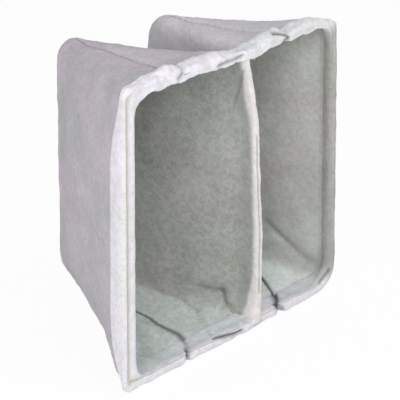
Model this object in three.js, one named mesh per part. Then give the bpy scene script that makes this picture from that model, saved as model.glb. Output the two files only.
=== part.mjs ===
// Two-pocket bag air filter, in millimetres.
// X runs across the mouth, Y from the mouth into the pockets, Z up.
// Each pocket is one thick sheet of wadding folded at the back and sewn along its top and bottom.
// A wadding hem is folded round a wire ring at the mouth, and a narrower one binds the divider.
import * as THREE from 'three';

const { lerp, smoothstep, clamp, degToRad } = THREE.MathUtils;

// Mouth
const MOUTH_WIDTH = 592;
const MOUTH_HEIGHT = 592;
const CORNER_RADIUS = 16;
const SOFT_CORNER_RADIUS = 58;

// Pockets
const MEDIA_THICKNESS = 8;
const POCKET_TOP_DEPTH = 326;
const POCKET_BOTTOM_DEPTH = 345;
const POCKET_TOP_RISE = 4;
const POCKET_BOTTOM_RISE = 98;
const FOLD_RADIUS = 20;
const BACK_TOP_RADIUS = 62;
const BACK_BOTTOM_RADIUS = 46;
const RIGHT_POCKET_LEAN = 54;
const PANEL_BULGE = 9;
const SEAM_VALLEY = 6;
const SEAM_REACH = 0.12;
const LEFT_SEAM_DRIFT = 30;
const RIGHT_SEAM_DRIFT = 38;
const DIVIDER_CORNER_RADIUS = 14;
const SHOULDER_RADIUS = 44;
const SOFT_SHOULDER_RADIUS = 78;
const SHOULDER_REACH = 0.3;

// Divider between the pockets
const DIVIDER_TOP_OFFSET = 22;
const DIVIDER_BOTTOM_OFFSET = 55;
const DIVIDER_BOW = 19;
const DIVIDER_SKIN = 4;
const DIVIDER_DEPTH = 26;
const DIVIDER_NOSE = 9;
const DIVIDER_CLEARANCE = 2.5;
const DIVIDER_END_CLEARANCE = 5;

// Hem round the mouth
const HEM_WIDTH = 32;
const TOP_HEM_WIDTH = 21;
const HEM_DEPTH = 35;
const HEM_CORNER_DEPTH = 11;
const HEM_TAPER_LENGTH = 140;
const HEM_SKIN = 7;
const HEM_FRONT = 8;
const HEM_LIP_DEPTH = 20;
const HEM_LIP_CORNER_RADIUS = 38;
const SOFT_LIP_CORNER_RADIUS = 42;
const HEM_EDGE_ROUND = 4.5;
const STITCH_INSET = 15;
const STITCH_GROOVE = 3;
const STITCH_SPREAD = 2.2;
const TOP_PUFF = 11;
const BOTTOM_PUFF = 4;
const SIDE_PUFF = 5;
const TUCK_DEPTH = 4;
const TUCK_WIDTH = 11;

// Wire
const WIRE_DIAMETER = 4;

// Fit and mesh fineness
const GAP = 0.35;
const CORNER_STEPS = 5;
const SIDE_STEPS = 12;
const LOFT_STEPS = 9;
const WIRE_SIDES = 8;
const BAY_STEPS = [0.04, 0.1, 0.22, 0.38, 0.55, 0.72, 0.88, 0.96];

const POCKET_CENTRE = MOUTH_WIDTH / 4;
const TUCKS = [-POCKET_CENTRE, 0, POCKET_CENTRE];
const SLOT_WIDTH = MEDIA_THICKNESS + 2 * GAP;
const SLOT_INNER = HEM_SKIN + SLOT_WIDTH;
const MEDIA_INSET = HEM_SKIN + SLOT_WIDTH / 2;
const WIRE_DEPTH = HEM_FRONT + GAP + WIRE_DIAMETER / 2;
const SHEET_FRONT = WIRE_DEPTH + WIRE_DIAMETER / 2 + GAP;
const DIVIDER_SHEET_FRONT = DIVIDER_NOSE + GAP;
const STRAIGHT_DEPTH = HEM_DEPTH + 2;

// Materials

function wadding(colour) {
  return new THREE.MeshStandardMaterial({ color: colour, roughness: 0.95, metalness: 0 });
}

const pocketMaterial = wadding(0xb9b6b8);
const hemMaterial = wadding(0xe6e4e6);
const wireMaterial = new THREE.MeshStandardMaterial({ color: 0x9a9c9e, roughness: 0.4, metalness: 0.9 });

// Closed meshes

function closedGeometry(points, quads) {
  const index = [];
  for (const [a, b, c, d] of quads) {
    index.push(a, b, c, a, c, d);
  }
  let volume = 0;
  for (let i = 0; i < index.length; i += 3) {
    const [a, b, c] = [points[index[i]], points[index[i + 1]], points[index[i + 2]]];
    volume += a.dot(new THREE.Vector3().crossVectors(b, c));
  }
  if (volume < 0) {
    index.reverse();
  }
  const geometry = new THREE.BufferGeometry().setFromPoints(points);
  geometry.setIndex(index);
  geometry.computeVertexNormals();
  return geometry;
}

// A ring swept from the same section at every station, closed on itself
function ringGeometry(stations) {
  const count = stations[0].length;
  const quads = [];
  stations.forEach((station, s) => {
    const next = (s + 1) % stations.length;
    for (let k = 0; k < count; k += 1) {
      const turn = (k + 1) % count;
      quads.push([s * count + k, next * count + k, next * count + turn, s * count + turn]);
    }
  });
  return closedGeometry(stations.flat(), quads);
}

// Mouth outline

function cornerRadii(inset) {
  const share = clamp(inset / HEM_WIDTH, 0, 1);
  const tight = lerp(CORNER_RADIUS, HEM_LIP_CORNER_RADIUS, share);
  const soft = lerp(SOFT_CORNER_RADIUS, SOFT_LIP_CORNER_RADIUS, share);
  return { topLeft: tight, bottomLeft: tight, bottomRight: soft, topRight: tight };
}

function bayPositions(from, to) {
  const stops = [from, ...(from < to ? TUCKS : [...TUCKS].reverse()), to];
  const positions = [];
  for (let bay = 0; bay + 1 < stops.length; bay += 1) {
    for (const share of BAY_STEPS) {
      positions.push(lerp(stops[bay], stops[bay + 1], share));
    }
    if (bay + 2 < stops.length) {
      positions.push(stops[bay + 1]);
    }
  }
  return positions;
}

function evenPositions(from, to) {
  return Array.from({ length: SIDE_STEPS - 1 }, (_, k) => lerp(from, to, (k + 1) / SIDE_STEPS));
}

// Points of the rounded rectangle that lies this far inside the mouth's outer edge
function mouthPath(inset, radii, topInset = inset) {
  const halfWidth = MOUTH_WIDTH / 2 - inset;
  const bottom = inset - MOUTH_HEIGHT / 2;
  const top = MOUTH_HEIGHT / 2 - topInset;
  const path = [];
  const arc = (signX, signZ, radius, startDegrees) => {
    const centreX = signX * (halfWidth - radius);
    const centreZ = (signZ > 0 ? top : bottom) - signZ * radius;
    for (let k = 0; k <= CORNER_STEPS; k += 1) {
      const angle = degToRad(startDegrees + (90 * k) / CORNER_STEPS);
      const out = new THREE.Vector3(Math.cos(angle), 0, Math.sin(angle));
      const at = new THREE.Vector3(centreX, 0, centreZ).addScaledVector(out, radius);
      path.push({ at, out, side: 'corner' });
    }
  };
  const upright = (x, from, to) => {
    for (const z of evenPositions(from, to)) {
      path.push({ at: new THREE.Vector3(x, 0, z), out: new THREE.Vector3(Math.sign(x), 0, 0), side: 'upright' });
    }
  };
  const level = (z, from, to) => {
    const side = z > 0 ? 'top' : 'bottom';
    for (const x of bayPositions(from, to)) {
      path.push({ at: new THREE.Vector3(x, 0, z), out: new THREE.Vector3(0, 0, Math.sign(z)), side });
    }
  };
  arc(-1, 1, radii.topLeft, 90);
  upright(-halfWidth, top - radii.topLeft, bottom + radii.bottomLeft);
  arc(-1, -1, radii.bottomLeft, 180);
  level(bottom, radii.bottomLeft - halfWidth, halfWidth - radii.bottomRight);
  arc(1, -1, radii.bottomRight, 270);
  upright(halfWidth, bottom + radii.bottomRight, top - radii.topRight);
  arc(1, 1, radii.topRight, 0);
  level(top, halfWidth - radii.topRight, radii.topLeft - halfWidth);
  return path;
}

// Hem

function fromCorner(at) {
  return Math.max(MOUTH_WIDTH / 2 - Math.abs(at.x), MOUTH_HEIGHT / 2 - Math.abs(at.z));
}

function isLevel(station) {
  return station.side === 'top' || station.side === 'bottom';
}

function tuckAt(station) {
  if (!isLevel(station)) {
    return 0;
  }
  const nearest = Math.min(...TUCKS.map((x) => Math.abs(station.at.x - x)));
  return Math.exp(-((nearest / TUCK_WIDTH) ** 2));
}

function swellAt(station) {
  const taper = smoothstep(fromCorner(station.at), 0, HEM_TAPER_LENGTH);
  if (!isLevel(station)) {
    return SIDE_PUFF * taper;
  }
  const puff = station.side === 'top' ? TOP_PUFF : BOTTOM_PUFF;
  const wave = Math.sqrt(Math.abs(Math.sin((Math.PI * station.at.x) / POCKET_CENTRE)));
  return puff * wave * taper - TUCK_DEPTH * tuckAt(station);
}

// Section of the hem: how far inside the mouth's edge, how deep, and its share of swelling and tuck
function hemSection(flank) {
  const lip = (share) => lerp(STITCH_INSET, HEM_WIDTH, share);
  const crest = { depth: STITCH_GROOVE * 0.3, swell: 0, tuck: 0.8 };
  return [
    { inset: 0, depth: flank, swell: 0.5, tuck: 0 },
    { inset: 0, depth: flank * 0.72, swell: 1, tuck: 0 },
    { inset: 0, depth: flank * 0.42, swell: 1, tuck: 0 },
    { inset: HEM_EDGE_ROUND * 0.18, depth: HEM_EDGE_ROUND * 0.8, swell: 0.6, tuck: 0.4 },
    { inset: HEM_EDGE_ROUND / 2, depth: HEM_EDGE_ROUND / 4, swell: 0.25, tuck: 0.8 },
    { inset: HEM_EDGE_ROUND, depth: 0, swell: 0, tuck: 1 },
    { inset: STITCH_INSET - 2 * STITCH_SPREAD, depth: 0, swell: 0, tuck: 1 },
    { inset: STITCH_INSET - STITCH_SPREAD, ...crest },
    { inset: STITCH_INSET, depth: STITCH_GROOVE, swell: 0, tuck: 0.3 },
    { inset: STITCH_INSET + STITCH_SPREAD, ...crest },
    { inset: lip(0.38), depth: 0, swell: 0, tuck: 1 },
    { inset: lip(0.78), depth: HEM_LIP_DEPTH * 0.06, swell: -0.2, tuck: 1 },
    { inset: lip(0.97), depth: HEM_LIP_DEPTH * 0.27, swell: -0.4, tuck: 0.5 },
    { inset: lip(1), depth: HEM_LIP_DEPTH * 0.55, swell: -0.4, tuck: 0 },
    { inset: lip(0.86), depth: HEM_LIP_DEPTH * 0.88, swell: -0.2, tuck: 0 },
    { inset: lip(0.5), depth: HEM_LIP_DEPTH, swell: 0, tuck: 0 },
    { inset: SLOT_INNER, depth: HEM_LIP_DEPTH, swell: 0, tuck: 0 },
    { inset: SLOT_INNER, depth: HEM_FRONT, swell: 0, tuck: 0 },
    { inset: HEM_SKIN, depth: HEM_FRONT, swell: 0, tuck: 0 },
    { inset: HEM_SKIN, depth: flank, swell: 0, tuck: 0 },
  ];
}

// The lip inside the slot is narrower along the top
function topInsetFor(inset) {
  const share = (inset - SLOT_INNER) / (HEM_WIDTH - SLOT_INNER);
  return share > 0 ? lerp(SLOT_INNER, TOP_HEM_WIDTH, share) : inset;
}

function hemGeometry() {
  const outline = mouthPath(0, cornerRadii(0));
  const paths = hemSection(HEM_DEPTH).map(({ inset }) => (
    mouthPath(inset, cornerRadii(inset), topInsetFor(inset))
  ));
  const stations = outline.map((edge, s) => {
    const taper = smoothstep(fromCorner(edge.at), 0, HEM_TAPER_LENGTH);
    const flank = lerp(HEM_CORNER_DEPTH, HEM_DEPTH, taper);
    const swelling = swellAt(edge);
    const tuck = tuckAt(edge);
    return hemSection(flank).map(({ depth, swell, tuck: share }, k) => {
      const { at, out } = paths[k][s];
      const point = at.clone().addScaledVector(out, swell * swelling);
      point.y = depth + share * tuck * TUCK_DEPTH;
      return point;
    });
  });
  return ringGeometry(stations);
}

// Wire

function wireGeometry() {
  const bends = mouthPath(MEDIA_INSET, cornerRadii(MEDIA_INSET)).filter(({ side }) => side === 'corner');
  const stations = bends.map(({ at, out }) => Array.from({ length: WIRE_SIDES }, (_, k) => {
    const angle = (2 * Math.PI * k) / WIRE_SIDES;
    const point = at.clone().addScaledVector(out, (WIRE_DIAMETER / 2) * Math.cos(angle));
    point.y = WIRE_DEPTH + (WIRE_DIAMETER / 2) * Math.sin(angle);
    return point;
  }));
  return ringGeometry(stations);
}

// Divider

const DIVIDER_TOP = MOUTH_HEIGHT / 2 - TOP_HEM_WIDTH - DIVIDER_END_CLEARANCE;
const DIVIDER_BOTTOM = HEM_WIDTH + DIVIDER_END_CLEARANCE - MOUTH_HEIGHT / 2;
const DIVIDER_HALF_WIDTH = MEDIA_THICKNESS + DIVIDER_CLEARANCE + DIVIDER_SKIN;

// How far the divider stands to the right of the mouth's middle at this height
function dividerAt(z) {
  const share = clamp((z - DIVIDER_BOTTOM) / (DIVIDER_TOP - DIVIDER_BOTTOM), 0, 1);
  const bow = DIVIDER_BOW * Math.sin(Math.PI * share);
  return lerp(DIVIDER_BOTTOM_OFFSET, DIVIDER_TOP_OFFSET, share) + bow;
}

function dividerGeometry() {
  const outer = DIVIDER_HALF_WIDTH;
  const inner = outer - DIVIDER_SKIN;
  const shape = new THREE.Shape();
  shape.moveTo(-outer, DIVIDER_DEPTH);
  shape.lineTo(-outer, DIVIDER_NOSE);
  shape.quadraticCurveTo(-outer, 0, 0, 0);
  shape.quadraticCurveTo(outer, 0, outer, DIVIDER_NOSE);
  shape.lineTo(outer, DIVIDER_DEPTH);
  shape.lineTo(inner, DIVIDER_DEPTH);
  shape.lineTo(inner, DIVIDER_NOSE);
  shape.lineTo(-inner, DIVIDER_NOSE);
  shape.lineTo(-inner, DIVIDER_DEPTH);
  shape.closePath();
  const geometry = new THREE.ExtrudeGeometry(shape, {
    depth: DIVIDER_TOP - DIVIDER_BOTTOM,
    steps: SIDE_STEPS,
    curveSegments: 5,
    bevelEnabled: false,
  });
  geometry.translate(0, 0, DIVIDER_BOTTOM);
  const position = geometry.attributes.position;
  for (let i = 0; i < position.count; i += 1) {
    position.setX(i, position.getX(i) + dividerAt(position.getZ(i)));
  }
  geometry.computeVertexNormals();
  return geometry;
}

// Pockets

// Places along the flat strip between a seam and the pocket's corner, close together at the seam
const STRIP_SHARES = [0, SEAM_REACH, 0.5];
const STRIP_STEPS = STRIP_SHARES.length;
const END_STEPS = STRIP_STEPS + CORNER_STEPS;
const HALF_STEPS = 2 * END_STEPS + SIDE_STEPS;

// Half of the sheet's edge at the mouth, from the top seam round one side to the bottom seam
function mouthHalf(hand, side, radii) {
  const outerX = hand * (MOUTH_WIDTH / 2 - MEDIA_INSET);
  const dividerX = hand * (MEDIA_THICKNESS / 2 + GAP);
  const sideX = side === 'outer' ? outerX : dividerX;
  const away = side === 'outer' ? hand : -hand;
  const seamX = hand * POCKET_CENTRE;
  const edgeZ = MOUTH_HEIGHT / 2 - MEDIA_INSET;
  const points = [];
  const strip = (z, radius) => (
    STRIP_SHARES.map((share) => ({ x: lerp(seamX, sideX - away * radius, share), z }))
  );
  const arc = (signZ, radius, reverse) => {
    for (let k = 0; k <= CORNER_STEPS; k += 1) {
      const angle = degToRad((90 * (reverse ? CORNER_STEPS - k : k)) / CORNER_STEPS);
      points.push({
        x: sideX - away * radius * (1 - Math.sin(angle)),
        z: signZ * (edgeZ - radius * (1 - Math.cos(angle))),
      });
    }
  };
  points.push(...strip(edgeZ, radii.top));
  arc(1, radii.top, false);
  for (const z of evenPositions(edgeZ - radii.top, radii.bottom - edgeZ)) {
    points.push({ x: sideX, z });
  }
  arc(-1, radii.bottom, true);
  points.push(...strip(-edgeZ, radii.bottom).reverse());
  return points.map(({ x, z }, k) => {
    const nearDivider = clamp((POCKET_CENTRE - Math.abs(x)) / (POCKET_CENTRE - DIVIDER_HALF_WIDTH), 0, 1);
    const fromEnd = Math.min(k, points.length - 1 - k);
    const turning = side === 'divider' && fromEnd >= STRIP_STEPS && fromEnd <= END_STEPS;
    const bound = side === 'divider' && fromEnd > END_STEPS ? DIVIDER_SHEET_FRONT : SHEET_FRONT;
    const front = turning ? HEM_LIP_DEPTH + GAP : bound;
    return new THREE.Vector3(x + nearDivider * dividerAt(z), front, z);
  });
}

// Side view of the back edge: the middle of the fold and the way that it faces, from top to bottom
function backSpine() {
  const inset = FOLD_RADIUS + MEDIA_THICKNESS / 2;
  const top = MOUTH_HEIGHT / 2 + POCKET_TOP_RISE;
  const bottom = POCKET_BOTTOM_RISE - MOUTH_HEIGHT / 2;
  const rake = Math.atan2(POCKET_BOTTOM_DEPTH - POCKET_TOP_DEPTH, top - bottom);
  const slope = Math.atan2(POCKET_BOTTOM_RISE, POCKET_BOTTOM_DEPTH);
  const facing = (angle) => new THREE.Vector3(0, Math.cos(angle), Math.sin(angle));
  const arcSteps = SIDE_STEPS / 3;
  const arc = (y, z, radius, fromAngle, toAngle) => {
    const [from, to] = [facing(fromAngle), facing(toAngle)];
    const inward = from.clone().add(to).multiplyScalar(-radius / (1 + from.dot(to)));
    const centre = new THREE.Vector3(0, y, z).add(inward);
    return Array.from({ length: arcSteps + 1 }, (_, k) => {
      const out = facing(lerp(fromAngle, toAngle, k / arcSteps));
      return { at: centre.clone().addScaledVector(out, radius - inset), out };
    });
  };
  const upper = arc(POCKET_TOP_DEPTH, top, BACK_TOP_RADIUS, Math.PI / 2, rake);
  const lower = arc(POCKET_BOTTOM_DEPTH, bottom, BACK_BOTTOM_RADIUS, rake, slope - Math.PI / 2);
  const straight = Array.from({ length: arcSteps - 1 }, (_, k) => ({
    at: upper[arcSteps].at.clone().lerp(lower[0].at, (k + 1) / arcSteps),
    out: facing(rake),
  }));
  return [...upper, ...straight, ...lower];
}

// The folded sheet's middle surface: rings from the mouth to the back, then the rounded fold
function pocketMidSurface(hand, lean, seamDrift, outerRadii) {
  const dividerRadii = { top: DIVIDER_CORNER_RADIUS, bottom: DIVIDER_CORNER_RADIUS };
  const shoulders = { top: SHOULDER_RADIUS, bottom: SOFT_SHOULDER_RADIUS };
  const innerShoulders = { top: SHOULDER_RADIUS, bottom: SHOULDER_RADIUS };
  const spine = backSpine();
  const centre = hand * POCKET_CENTRE + lean;
  const foldPoint = (row, turn) => {
    const { at, out } = spine[row];
    const point = at.clone().addScaledVector(out, FOLD_RADIUS * Math.cos(turn));
    point.x = centre + FOLD_RADIUS * Math.sin(turn);
    return point;
  };
  const backHalf = (away) => Array.from({ length: HALF_STEPS + 1 }, (_, k) => {
    const row = clamp(k - END_STEPS, 0, SIDE_STEPS);
    const fromSeam = Math.min(k, HALF_STEPS - k, END_STEPS);
    return foldPoint(row, (away * Math.PI * fromSeam) / (2 * END_STEPS));
  });
  const loop = (first, second) => [...first, ...second.slice(1, -1).reverse()];
  const mouthLoop = (outer, divider) => (
    loop(mouthHalf(hand, 'outer', outer), mouthHalf(hand, 'divider', divider))
  );
  const atDepth = ({ x, z }) => new THREE.Vector3(x, STRAIGHT_DEPTH, z);
  const mouth = mouthLoop(outerRadii, dividerRadii);
  const shoulder = mouthLoop(shoulders, innerShoulders).map(atDepth);
  const back = loop(backHalf(hand), backHalf(-hand));
  const rings = [mouth, mouth.map(atDepth)];
  for (let k = 1; k <= LOFT_STEPS; k += 1) {
    const share = k / LOFT_STEPS;
    const belly = PANEL_BULGE * Math.sin(Math.PI * share);
    rings.push(back.map((end, i) => {
      const start = rings[1][i].clone().lerp(shoulder[i], smoothstep(share, 0, SHOULDER_REACH));
      const point = start.lerp(end, share);
      const alongHalf = i <= HALF_STEPS ? i : 2 * HALF_STEPS - i;
      const onSide = Math.sin(Math.PI * clamp((alongHalf - END_STEPS) / SIDE_STEPS, 0, 1));
      point.x += (i <= HALF_STEPS ? hand : -hand) * belly * onSide;
      const atSeam = alongHalf === 0 ? 1 : alongHalf === HALF_STEPS ? -1 : 0;
      point.z -= atSeam * SEAM_VALLEY * Math.sin(Math.PI * share);
      const fromBottomSeam = clamp((HALF_STEPS - alongHalf) / END_STEPS, 0, 1);
      point.x += seamDrift * (1 - fromBottomSeam) * Math.sin(Math.PI * share);
      return point;
    }));
  }
  return { rings, foldPoint };
}

function pocketGeometry(hand, lean, seamDrift, outerRadii) {
  const { rings, foldPoint } = pocketMidSurface(hand, lean, seamDrift, outerRadii);
  const around = rings[0].length;
  const points = rings.flat();
  const quads = [];
  for (let r = 0; r + 1 < rings.length; r += 1) {
    for (let i = 0; i < around; i += 1) {
      const next = (i + 1) % around;
      quads.push([r * around + i, r * around + next, (r + 1) * around + next, (r + 1) * around + i]);
    }
  }
  const lastRing = (rings.length - 1) * around;
  const across = 2 * END_STEPS;
  const foldIndex = new Map();
  // Row 0 is the top end, column 0 the outer side
  const foldVertex = (row, column) => {
    if (row === 0 || row === SIDE_STEPS) {
      const fromSeam = END_STEPS - column;
      const turned = row === 0 ? fromSeam : HALF_STEPS - fromSeam;
      return lastRing + ((turned + around) % around);
    }
    if (column === 0) {
      return lastRing + END_STEPS + row;
    }
    if (column === across) {
      return lastRing + around - END_STEPS - row;
    }
    const key = row * (across + 1) + column;
    if (!foldIndex.has(key)) {
      const turn = ((END_STEPS - column) * hand * Math.PI) / (2 * END_STEPS);
      foldIndex.set(key, points.length);
      points.push(foldPoint(row, turn));
    }
    return foldIndex.get(key);
  };
  for (let row = 0; row < SIDE_STEPS; row += 1) {
    for (let column = 0; column < across; column += 1) {
      quads.push([
        foldVertex(row, column),
        foldVertex(row + 1, column),
        foldVertex(row + 1, column + 1),
        foldVertex(row, column + 1),
      ]);
    }
  }
  return thickened(points, quads, around);
}

// Gives the middle surface its thickness; the first points are the open edge at the mouth
function thickened(points, quads, rim) {
  const normals = points.map(() => new THREE.Vector3());
  for (const quad of quads) {
    const [a, b, c, d] = quad.map((i) => points[i]);
    const normal = new THREE.Vector3().crossVectors(c.clone().sub(a), d.clone().sub(b)).normalize();
    quad.forEach((i) => normals[i].add(normal));
  }
  const count = points.length;
  const offset = (sign) => points.map((point, i) => (
    point.clone().addScaledVector(normals[i].clone().normalize(), (sign * MEDIA_THICKNESS) / 2)
  ));
  const all = [...offset(1), ...offset(-1)];
  const faces = [];
  for (const [a, b, c, d] of quads) {
    faces.push([a, b, c, d]);
    faces.push([a + count, d + count, c + count, b + count]);
  }
  for (let i = 0; i < rim; i += 1) {
    const next = (i + 1) % rim;
    faces.push([i, i + count, next + count, next]);
  }
  return closedGeometry(all, faces);
}

// The filter

const filter = new THREE.Group();

function addPiece(name, geometry, material) {
  const mesh = new THREE.Mesh(geometry, material);
  mesh.name = name;
  filter.add(mesh);
}

const mediaRadii = cornerRadii(MEDIA_INSET);
const leftRadii = { top: mediaRadii.topLeft, bottom: mediaRadii.bottomLeft };
const rightRadii = { top: mediaRadii.topRight, bottom: mediaRadii.bottomRight };

const leftPocket = pocketGeometry(-1, 0, LEFT_SEAM_DRIFT, leftRadii);
const rightPocket = pocketGeometry(1, -RIGHT_POCKET_LEAN, RIGHT_SEAM_DRIFT, rightRadii);

addPiece('left_pocket', leftPocket, pocketMaterial);
addPiece('right_pocket', rightPocket, pocketMaterial);
addPiece('mouth_hem', hemGeometry(), hemMaterial);
addPiece('divider_hem', dividerGeometry(), hemMaterial);
addPiece('wire_frame', wireGeometry(), wireMaterial);

// The origin is the middle of the filter's own box
const box = new THREE.Box3().setFromObject(filter);
filter.position.copy(box.getCenter(new THREE.Vector3()).negate());

export default filter;
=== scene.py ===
import math

import bpy
import numpy as np
from mathutils import Matrix, Vector


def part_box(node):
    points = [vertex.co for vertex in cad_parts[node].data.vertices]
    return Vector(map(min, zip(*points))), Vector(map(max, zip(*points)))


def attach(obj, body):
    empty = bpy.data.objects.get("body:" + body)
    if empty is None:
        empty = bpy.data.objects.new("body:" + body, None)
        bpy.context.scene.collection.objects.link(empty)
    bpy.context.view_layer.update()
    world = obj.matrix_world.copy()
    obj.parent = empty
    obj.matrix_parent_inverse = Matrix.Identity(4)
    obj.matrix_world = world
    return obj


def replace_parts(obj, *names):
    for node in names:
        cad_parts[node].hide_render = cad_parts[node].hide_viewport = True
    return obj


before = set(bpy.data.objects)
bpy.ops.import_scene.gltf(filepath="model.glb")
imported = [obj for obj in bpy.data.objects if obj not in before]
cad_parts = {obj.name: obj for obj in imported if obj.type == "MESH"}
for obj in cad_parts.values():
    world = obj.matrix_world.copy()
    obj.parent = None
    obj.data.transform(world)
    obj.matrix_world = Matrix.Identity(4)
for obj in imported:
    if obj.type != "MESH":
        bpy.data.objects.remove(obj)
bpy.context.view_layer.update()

# The pieces are drawn in millimetres: x across the mouth, y into the pockets, z up from the mouth's middle
MILLIMETRE = 0.001
HALF = 296.0
SHEET = 8.0
SHEET_INSET = 11.35
WIRE_DEPTH = 10.35
WIRE_RADIUS = 2.0
FAR = 99.0
HEM_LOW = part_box("mouth_hem")[0]
WIRE_LOW, WIRE_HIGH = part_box("wire_frame")
ORIGIN = np.array([0.0, HEM_LOW.y, (WIRE_LOW.z + WIRE_HIGH.z) / 2])


# Small helpers

def smooth(value, low, high):
    share = np.clip((value - low) / (high - low), 0, 1)
    return share * share * (3 - 2 * share)


def table(value, *pairs):
    xs, ys = zip(*pairs)
    return np.interp(value, xs, ys)


def ripple(points, wavelength, seed, count=24):
    """Smooth irregular waves of unit strength."""
    rng = np.random.default_rng(seed)
    heading = rng.normal(size=(count, 3))
    heading /= np.linalg.norm(heading, axis=1)[:, None]
    pitch = 2 * math.pi / wavelength * rng.uniform(0.6, 1.6, count)
    phase = rng.uniform(0, 2 * math.pi, count)
    single = np.sin(points @ (heading * pitch[:, None]).T + phase)
    return single.sum(axis=1) / math.sqrt(count / 2)


def waves(points, *parts):
    """A sum of ripples, each given as strength, wavelength and seed."""
    return sum(strength * ripple(points, wavelength, seed) for strength, wavelength, seed in parts)


def bell(distance, width):
    return np.exp(-((distance / width) ** 2))


def distance_to(points, line):
    """Distance from each point to a bent line, and how far along the line the nearest spot lies."""
    best = np.full(len(points), 1e9)
    along = np.zeros(len(points))
    line = np.asarray(line, float)
    lengths = np.linalg.norm(np.diff(line, axis=0), axis=1)
    total = lengths.sum()
    before = 0.0
    for a, b, length in zip(line[:-1], line[1:], lengths):
        share = np.clip(((points - a) @ (b - a)) / length**2, 0, 1)
        away = np.linalg.norm(points - (a + share[:, None] * (b - a)), axis=1)
        closer = away < best
        best[closer] = away[closer]
        along[closer] = ((before + share * length) / total)[closer]
        before += length
    return best, along


# How the photographed mouth differs from a square: shares of the width, then millimetres at each corner
TOP_WIDENING, BOTTOM_WIDENING = -0.0247, 0.0311
TOP_LEFT_RISE, TOP_RIGHT_RISE, BOTTOM_LEFT_RISE, BOTTOM_RIGHT_RISE = 1.4, -2.4, -2.4, 3.7
# The lift of the top edge along x
TOP_LIFT = (
    (40, 0), (70, 3), (90, 6), (120, 8), (150, 8), (190, 11), (230, 12), (250, 10), (270, 6), (296, 2),
)
SLACK_DEPTH = 300


def settle(points):
    """The slack of this filter's mouth: it is a little narrower at the top, and its top right is lifted."""
    x, y, z = points.T.copy()
    across, up = (x / HALF + 1) / 2, (z / HALF + 1) / 2
    near = np.clip(1 - y / SLACK_DEPTH, 0, 1)
    wider = (TOP_WIDENING * up + BOTTOM_WIDENING * (1 - up)) * x
    top_rise = TOP_LEFT_RISE * (1 - across) + TOP_RIGHT_RISE * across
    bottom_rise = BOTTOM_LEFT_RISE * (1 - across) + BOTTOM_RIGHT_RISE * across
    taller = top_rise * up + bottom_rise * (1 - up)
    lift = table(x, *TOP_LIFT) * smooth(z, 190, 282) * (1 - smooth(y, 40, 150))
    return np.column_stack([x + wider * near, y, z + taller * near + lift])


def ring_quads(rings, count, closed=True):
    """Quads between neighbouring rings of this many points each."""
    spans = rings if closed else rings - 1
    ring, spot = np.divmod(np.arange(spans * count), count)
    here = ring * count
    there = (ring + 1) % rings * count
    beside = (spot + 1) % count
    return np.column_stack([here + spot, there + spot, there + beside, here + beside]).tolist()


def add_mesh(name, points, faces, material, **marks):
    """A closed mesh with its faces outward and its marks as point attributes."""
    mesh = bpy.data.meshes.new(name)
    places = settle(points) * MILLIMETRE + ORIGIN
    mesh.from_pydata(places.tolist(), [], faces)
    mesh.update()
    for key, values in marks.items():
        mesh.attributes.new(key, "FLOAT", "POINT").data.foreach_set("value", np.asarray(values, np.float32))
    mesh.polygons.foreach_set("use_smooth", [True] * len(mesh.polygons))
    obj = bpy.data.objects.new(name, mesh)
    bpy.context.collection.objects.link(obj)
    mesh.materials.append(material)
    turn_outward(obj)
    return obj


def turn_outward(obj):
    points = np.array([v.co for v in obj.data.vertices])
    volume = 0.0
    for face in obj.data.polygons:
        a, *rest = [points[i] for i in face.vertices]
        for b, c in zip(rest[:-1], rest[1:]):
            volume += a @ np.cross(b, c)
    if volume < 0:
        obj.data.flip_normals()


# Materials

# The speck grey and the dull and fibre gains are the wadding's own look; the gap and fold greys are painted
# shade, and the light gain is painted light on surfaces facing up
SPECK_GREY, GAP_SHADE_GREY, FOLD_SHADE_GREY = (0.62, 0.63, 0.61), (0.05, 0.055, 0.05), (0.09, 0.095, 0.09)
DULL_GAIN, FIBRE_GAIN, PAINTED_LIGHT_GAIN = (0.74, 0.75, 0.73), (1.22, 1.22, 1.2), (1.4, 1.48, 1.52)


def shader(name, roughness=0.95):
    material = bpy.data.materials.new(name)
    material.use_nodes = True
    tree = material.node_tree
    tree.nodes.clear()
    out = tree.nodes.new("ShaderNodeOutputMaterial")
    base = tree.nodes.new("ShaderNodeBsdfPrincipled")
    base.inputs["Roughness"].default_value = roughness
    tree.links.new(base.outputs[0], out.inputs[0])
    return material, tree, base


def noise(tree, scale, detail=3.0, roughness=0.5, distortion=0.0, stretch=(1, 1, 1)):
    place = tree.nodes.new("ShaderNodeTexCoord")
    mapping = tree.nodes.new("ShaderNodeMapping")
    mapping.inputs["Scale"].default_value = stretch
    node = tree.nodes.new("ShaderNodeTexNoise")
    node.inputs["Scale"].default_value = scale
    node.inputs["Detail"].default_value = detail
    node.inputs["Roughness"].default_value = roughness
    node.inputs["Distortion"].default_value = distortion
    tree.links.new(place.outputs["Object"], mapping.inputs["Vector"])
    tree.links.new(mapping.outputs[0], node.inputs["Vector"])
    return node.outputs["Fac"]


def span(tree, value, low, high, to_low=0.0, to_high=1.0):
    node = tree.nodes.new("ShaderNodeMapRange")
    node.inputs["From Min"].default_value = low
    node.inputs["From Max"].default_value = high
    node.inputs["To Min"].default_value = to_low
    node.inputs["To Max"].default_value = to_high
    tree.links.new(value, node.inputs["Value"])
    return node.outputs["Result"]


def mix(tree, factor, first, second, blend="MIX"):
    node = tree.nodes.new("ShaderNodeMix")
    node.data_type = "RGBA"
    node.blend_type = blend
    for socket, value in ((node.inputs[0], factor), (node.inputs[6], first), (node.inputs[7], second)):
        if hasattr(value, "is_linked"):
            tree.links.new(value, socket)
        elif isinstance(value, (int, float)):
            socket.default_value = value
        else:
            socket.default_value = (*value, 1)
    return node.outputs[2]


def combine(tree, operation, first, second):
    node = tree.nodes.new("ShaderNodeMath")
    node.operation = operation
    tree.links.new(first, node.inputs[0])
    if isinstance(second, float):
        node.inputs[1].default_value = second
    else:
        tree.links.new(second, node.inputs[1])
    return node.outputs[0]


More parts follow.
